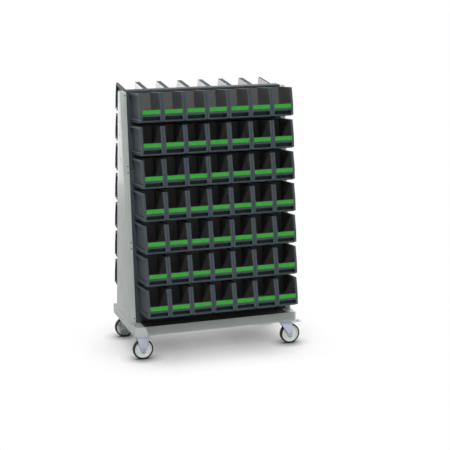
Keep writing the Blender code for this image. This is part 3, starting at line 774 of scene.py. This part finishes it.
# %% Shape of an end panel
FLANGE, POST_SHEET, FOLD_RADIUS, FIT_GAP = 0.0325, 0.002, 0.0035, 0.0003
WEB_HOLES, WEB_HOLE_RADIUS = (1.333, 1.185), 0.005
DRILL_LENGTH, DRILL_STEPS = 0.012, 24


def crosswise_drill(x, y, z, radius):
    """A cylinder along X, for a hole through an upright sheet."""
    place = Matrix.Translation((x, y, z)) @ Matrix.Rotation(math.radians(90.0), 4, "Y")
    shape = bmesh.new()
    bmesh.ops.create_cone(
        shape, cap_ends=True, segments=DRILL_STEPS, radius1=radius, radius2=radius,
        depth=DRILL_LENGTH, matrix=place,
    )
    return to_mesh(shape, "drill")


def tray(side):
    """The end panel's tapering box without its inner face, with rounded folds."""
    web = CART_MIDDLE + side * HALF_LENGTH
    inner_edge = web - side * FLANGE
    foot, head = BASE_TOP + FIT_GAP, POST_TOP
    foot_half = POST_HEAD_DEPTH / 2 + (POST_TOP - foot) * math.tan(LEAN)
    head_half = POST_HEAD_DEPTH / 2
    outline = [(foot_half, -foot), (-foot_half, -foot), (-head_half, -head), (head_half, -head)]
    shape = bmesh.new()
    push(shape, outline, web, inner_edge)
    mouth = [f for f in shape.faces if all(abs(v.co.x - inner_edge) < TINY for v in f.verts)]
    bmesh.ops.delete(shape, geom=mouth, context="FACES_ONLY")
    bmesh.ops.recalc_face_normals(shape, faces=shape.faces)
    round_edges(shape, FOLD_RADIUS, 3, [e for e in shape.edges if e.is_manifold])
    return shape


print("end panel: flange", FLANGE, "sheet", POST_SHEET, "fold", FOLD_RADIUS)

# %% [markdown]
# The tray's faces first have to point outwards, because its sheet grows from the outer surface
# inwards. A tray has no inside for Blender to find, so the sum of its faces' directions decides
# which way round they are.

# %% Build the end panels
ENDS = {"left": -1.0, "right": 1.0}


def end_panel(side):
    shape = tray(side)
    bmesh.ops.recalc_face_normals(shape, faces=shape.faces)
    if sum(f.normal.x * f.calc_area() for f in shape.faces) * side < 0.0:
        bmesh.ops.reverse_faces(shape, faces=shape.faces)
    bmesh.ops.solidify(shape, geom=shape.faces[:], thickness=POST_SHEET)
    mesh, web = to_mesh(shape, "end_panel"), CART_MIDDLE + side * HALF_LENGTH
    for height in WEB_HOLES:
        mesh = combined(mesh, crosswise_drill(web, 0.0, height, WEB_HOLE_RADIUS), "DIFFERENCE")
    return mesh


for name, side in ENDS.items():
    node = f"{name}_end_panel"
    made = make_piece(f"{node}_sheet", end_panel(side), "light_grey_paint", body_of[node], [node])
    print("its box", rounded((made.bound_box[0], made.bound_box[6])))

# %% [markdown]
# ## Base, deck and ridge cover
# These are plain folded shapes that the CAD already has right, but their edges are knife sharp.
# A copy of each node is merged into whole faces and its edges are rounded by less than 1 mm,
# enough to catch a thin highlight. Each end beam of the base also has three round holes.

# %% Soften the plain sheet pieces
BEAM_HOLES, BEAM_HOLE_RADIUS = ((-0.150, 0.176), (0.0, 0.181), (0.150, 0.176)), 0.006
FLAT_TURN = math.radians(0.5)


def cad_copy(node):
    """A copy of a CAD node's triangles, merged, with its flat parts joined into whole faces."""
    shape = bmesh.new()
    shape.from_mesh(frame["nodes"][node].data)
    bmesh.ops.remove_doubles(shape, verts=shape.verts, dist=TINY)
    bmesh.ops.dissolve_limit(
        shape, angle_limit=FLAT_TURN, verts=shape.verts, edges=shape.edges,
        use_dissolve_boundaries=False,
    )
    return shape


def drilled_base(shape):
    """The base with the holes of its two end beams."""
    mesh = to_mesh(shape, "base_frame")
    for end in ENDS.values():
        for y, z in BEAM_HOLES:
            drill = crosswise_drill(CART_MIDDLE + end * HALF_LENGTH, y, z, BEAM_HOLE_RADIUS)
            mesh = combined(mesh, drill, "DIFFERENCE")
    shape = bmesh.new()
    shape.from_mesh(mesh)
    bmesh.ops.remove_doubles(shape, verts=shape.verts, dist=TINY)
    return shape


for node, slot, width in (
    ("base_frame", "light_grey_paint", 0.0008), ("deck", "anthracite_deck", 0.0006),
    ("ridge_cover", "anthracite_paint", 0.0006),
):
    shape = cad_copy(node)
    if node == "base_frame":
        shape = drilled_base(shape)
    round_edges(shape, width, 2)
    make_piece(f"{node}_sheet", shape, slot, body_of[node], [node])

# %% [markdown]
# ## Turning a profile
# Screws, pins, wheels and tyres are round, so half of their outline is drawn beside the axis and
# spun once round it. Its corners are rounded first, while they are still single points. Edges that
# lie on the axis would only be walls inside the solid, so they go before the spin.

# %% Spin helper
TURN_STEPS = 20


def spun(profile, axis, steps, rounding, segments=2):
    """A solid of (radius, along) points turned once round the axis, its corners rounded first."""
    along = Vector((0.0, 1.0, 0.0)) if axis == "Y" else Vector((0.0, 0.0, 1.0))
    outward = Vector((0.0, 0.0, -1.0)) if axis == "Y" else Vector((1.0, 0.0, 0.0))
    shape = bmesh.new()
    ring = [shape.verts.new(outward * r + along * a) for r, a in profile]
    shape.faces.new(ring)
    bmesh.ops.bevel(
        shape, geom=[v for v, (r, _) in zip(ring, profile) if r > 0.0], offset=rounding,
        offset_type="OFFSET", segments=segments, profile=0.5, affect="VERTICES",
        clamp_overlap=True, material=-1,
    )
    bmesh.ops.delete(shape, geom=shape.faces[:], context="FACES_ONLY")
    on_axis = [e for e in shape.edges if all(v.co.cross(along).length < TINY for v in e.verts)]
    bmesh.ops.delete(shape, geom=on_axis, context="EDGES")
    bmesh.ops.spin(
        shape, geom=shape.verts[:] + shape.edges[:], cent=(0.0, 0.0, 0.0), axis=along,
        angle=2.0 * math.pi, steps=steps, use_merge=True,
    )
    bmesh.ops.remove_doubles(shape, verts=shape.verts, dist=TINY)
    return shape


print("small round parts are turned in", TURN_STEPS, "steps")

# %% [markdown]
# ## Screws
# Low-headed dark screws hold the louvre panels to the end panels' flanges, near the top and bottom
# of each louvre panel, and larger ones hold the end panels' feet to the base. One head of each kind
# is turned with a socket in it, and copied to its places in the face's frame or on the base's top.

# %% Build the screws
FLANGE_SCREWS = (0.0216, 0.4386, 0.4770, 0.8960, 0.9333, 1.3580)
SCREW_X, BASE_SCREW = 0.492, (0.496, 0.210)
FLANGE_HEAD, BASE_HEAD, HEAD_SINK, HEAD_ROUND = (0.0042, 0.0018), (0.0055, 0.0030), 0.0004, 0.0002
SOCKET_WIDTH, DOME_WIDTH, BRIM_RISE, SOCKET_RISE = 0.42, 0.72, 0.45, 0.35


def screw_head(radius, rise, axis, facing):
    """A domed head with a socket, turned round the axis. It sits a little below its seat."""
    socket, dome, floor = radius * SOCKET_WIDTH, radius * DOME_WIDTH, rise * SOCKET_RISE
    profile = [
        (0.0, -HEAD_SINK), (radius, -HEAD_SINK), (radius, rise * BRIM_RISE), (dome, rise),
        (socket, rise), (socket, floor), (0.0, floor),
    ]
    profile = [(r, facing * a) for r, a in profile]
    return to_mesh(spun(profile, axis, TURN_STEPS, HEAD_ROUND, 1), "screw_head")


flange_head, base_head = screw_head(*FLANGE_HEAD, "Y", -1), screw_head(*BASE_HEAD, "Z", 1)
for face, side in SIDES.items():
    places = [(end * SCREW_X, down) for end in ENDS.values() for down in FLANGE_SCREWS]
    heads = on_face(flange_head, places, side)
    make_piece(f"{face}_flange_screws", heads, "anthracite_paint", "cart")
spots = [
    (CART_MIDDLE + end * BASE_SCREW[0], side * BASE_SCREW[1], BASE_TOP)
    for end in ENDS.values() for side in SIDES.values()
]
make_piece("base_screws", copies(base_head, spots), "anthracite_paint", "cart")

# %% [markdown]
# ## Casters
# Wheels and tyres are turned: a profile of the hub, web and rim is rounded at its corners and spun
# round the axle. Both are the same on their two sides, so only half of each profile is written.

# %% Turn the wheels, tyres and pin heads
WHEEL_STEPS, WHEEL_ROUND, TYRE_ROUND = 64, 0.0010, 0.0008
PIN_RADIUS, PIN_HEAD, PIN_ROUND = 0.0055, 0.0018, 0.0004


def mirrored(half):
    return half + [(r, -a) for r, a in reversed(half)]


WHEEL_PROFILE = mirrored([
    (0.0043, 0.0187), (0.0150, 0.0187), (0.0170, 0.0150), (0.0175, 0.0050), (0.0400, 0.0040),
    (0.0445, 0.0060), (0.0470, 0.0105), (0.0475, 0.0120), (0.0532, 0.0120),
])
TYRE_PROFILE = mirrored([
    (0.0535, 0.0155), (0.0575, 0.0160), (0.0605, 0.0145), (0.0622, 0.0110), (0.0625, 0.0060),
])
PIN_PROFILE = [(0.0, 0.0), (PIN_RADIUS, 0.0), (PIN_RADIUS, PIN_HEAD), (0.0, PIN_HEAD)]
wheel_mesh = to_mesh(spun(WHEEL_PROFILE, "Y", WHEEL_STEPS, WHEEL_ROUND), "wheel")
tyre_mesh = to_mesh(spun(TYRE_PROFILE, "Y", WHEEL_STEPS, TYRE_ROUND), "tyre")
pin_mesh = to_mesh(spun(PIN_PROFILE, "Y", TURN_STEPS, PIN_ROUND, 1), "pin_head")
print("faces:", *(len(mesh.polygons) for mesh in (wheel_mesh, tyre_mesh, pin_mesh)))

# %% [markdown]
# Forks, axles, plates and pedals are pressed or drawn metal, which the CAD already has in shape,
# so copies of them are only softened. The brake's pin has a flat head on each leg of the fork, a
# hair off the metal, and turns with the fork.

# %% Build the casters
CASTER_X, CASTER_Y, WHEEL_RADIUS, METAL_EDGE = 0.474, 0.225, 0.0625, 0.0005
BRAKE_PIVOT, LEG_OUT, PIN_GAP = (0.464, 0.1295), 0.0215, 0.0002


def caster(name, along, across, parts):
    """The pieces of one caster, whose wheel's middle is at (along, across)."""
    for part, mesh, kind, slot in (
        ("wheel", wheel_mesh, "body", "pale_polyamide"),
        ("tyre", tyre_mesh, "ring", "black_rubber"),
    ):
        node, shape = f"{name}_{part}", copies(mesh, [(along, across, WHEEL_RADIUS)])
        make_piece(f"{node}_{kind}", shape, slot, body_of[node], [node])
    for part in parts:
        node, slot = f"{name}_{part}", "bright_steel" if part == "axle" else "zinc_plated_steel"
        shape = cad_copy(node)
        round_edges(shape, METAL_EDGE, 2)
        make_piece(f"{node}_softened", shape, slot, body_of[node], [node])


for face, side in SIDES.items():
    across, near = side * CASTER_Y, LEG_OUT + PIN_GAP
    caster(f"{face}_fixed", -CASTER_X, across, ["fork", "axle"])
    caster(f"{face}_swivel", CASTER_X, across, ["fork", "axle", "plate", "brake_pedal"])
    spots = [(BRAKE_PIVOT[0], y, BRAKE_PIVOT[1]) for y in (across - near - PIN_HEAD, across + near)]
    pins, fork = copies(pin_mesh, spots), f"{face}_swivel_fork"
    make_piece(f"{face}_swivel_pin_heads", pins, "bright_steel", body_of[fork])

# %% [markdown]
# ## Studio floor
# The picture's floor is white paper, and the only shadow on it is a soft one close round the cart.
# A camera ray that meets the floor therefore sees a painted shadow, not the lamps' shadows: a white
# glow, darkened by how much open sky is above that spot: first within about a third of a metre,
# for the broad shadow, and then within a hand's width, for the dark spot under each tyre. Every
# other ray meets plain white paper, which throws light back up at the cart.

# %% Floor
FLOOR_HALF, PAPER_WHITE = 70.0, (0.9, 0.9, 0.9, 1.0)
SHADOW_REACH, CONTACT_REACH, SKY_SAMPLES = 0.36, 0.09, 8
SHADOW_LIGHT, CONTACT_LIGHT = 0.17, 0.06


def seen_rays(graph):
    """1 for rays from the camera and for mirrored and refracted ones, and 0 for the rest."""
    straight, mirrored_ray, refracted = (
        graph.node("ShaderNodeLightPath", output=name)
        for name in ("Is Camera Ray", "Is Glossy Ray", "Is Transmission Ray")
    )
    return straight.larger(mirrored_ray).larger(refracted)


floor_shape = bmesh.new()
bmesh.ops.create_grid(floor_shape, x_segments=1, y_segments=1, size=FLOOR_HALF)
floor = in_scene("floor", to_mesh(floor_shape, "floor"))

paper = Finish("studio_floor", Base_Color=PAPER_WHITE, Roughness=1.0, Specular_IOR_Level=0.0)
broad, close = (
    paper.node("ShaderNodeAmbientOcclusion", {"samples": SKY_SAMPLES}, {"Distance": reach}, "AO")
    for reach in (SHADOW_REACH, CONTACT_REACH)
)
# Painted shadow: the glow that seen rays meet is darkened by the open sky found nearby, not by the
# lamps.
soft = paper.above(broad, 0.0, 1.0) * (1.0 - SHADOW_LIGHT) + SHADOW_LIGHT
shadow = soft * (close * close * (1.0 - CONTACT_LIGHT) + CONTACT_LIGHT)
glow = paper.node("ShaderNodeEmission", None, {"Color": shadow})
lit = Wire(paper, paper.shader.outputs[0])
surface = paper.node("ShaderNodeMixShader", None, {0: seen_rays(paper), 1: lit, 2: glow})
paper.feed(paper.tree.nodes["Material Output"].inputs["Surface"], surface)
floor.data.materials.append(paper.material)
print("floor shadow reaches", SHADOW_REACH, "m")

# %% [markdown]
# ## Studio sky
# The background is white to the camera and in mirrored surfaces. For all other rays the sky is
# nearly dark, because the lamps light the cart, and a bright sky would wash out its shadows.

# %% World
WORLD_LIGHT = 0.03
world = bpy.data.worlds.new("studio")
world.use_nodes = True
sky = Graph(world.node_tree)
background = sky.tree.nodes["Background"].inputs
sky.feed(background["Color"], (1.0, 1.0, 1.0, 1.0))
sky.feed(background["Strength"], seen_rays(sky) * (1.0 - WORLD_LIGHT) + WORLD_LIGHT)
bpy.context.scene.world = world
print("sky", world.name)

# %% [markdown]
# ## Lamps
# A distant key light stands 45 degrees up, slightly to the left, and draws the slanting shadow
# edges inside the bins. A wide one low in front fills the recesses, and weak ones from the right
# and from above shape the rest. One from the rear right lights the faces that the picture doesn't
# show. Two boxes far behind at the left are mirrored in the end panel and in the tips of the rear
# bins, because paint and plastic seen at a low angle mirror well.

# %% Lights
def aim(lamp, towards):
    lamp.rotation_euler = towards.to_track_quat("Z", "Y").to_euler()


def sun(name, azimuth, elevation, strength, spread):
    """A distant light that comes from an azimuth, counted from the front towards the right."""
    data = bpy.data.lights.new(name, "SUN")
    data.energy, data.angle = strength, math.radians(spread)
    a, e = math.radians(azimuth), math.radians(elevation)
    aim(in_scene(name, data),
        Vector((math.sin(a) * math.cos(e), -math.cos(a) * math.cos(e), math.sin(e))))


def softbox(name, spot, target, size, power):
    """A glowing rectangle at a spot that faces a target. The camera doesn't see it."""
    data = bpy.data.lights.new(name, "AREA")
    data.shape, data.energy = "RECTANGLE", power
    data.size, data.size_y = size
    lamp = in_scene(name, data)
    lamp.location, lamp.visible_camera = spot, False
    aim(lamp, Vector(spot) - Vector(target))


for name, azimuth, elevation, strength, spread in (
    ("key", -13.0, 45.0, 2.25, 5.0), ("front", 0.0, 12.0, 0.20, 40.0),
    ("right", 22.0, 40.0, 0.25, 12.0), ("top", 0.0, 89.0, 0.28, 30.0),
    ("rear_right", 140.0, 35.0, 0.90, 40.0),
):
    sun(name, azimuth, elevation, strength, spread)
for name, spot, target, size, power in (
    ("rear_left_high", (-1.5, 4.3, 1.8), (-0.3, 0.0, 1.3), (1.9, 1.4), 18.0),
    ("rear_left_low", (-1.5, 4.3, 0.6), (-0.3, 0.0, 0.8), (1.9, 1.0), 12.0),
):
    softbox(name, spot, target, size, power)
bpy.context.scene.view_settings.view_transform = "Standard"
print("lamps:", len(bpy.data.lights))

# %% [markdown]
# ## Finish
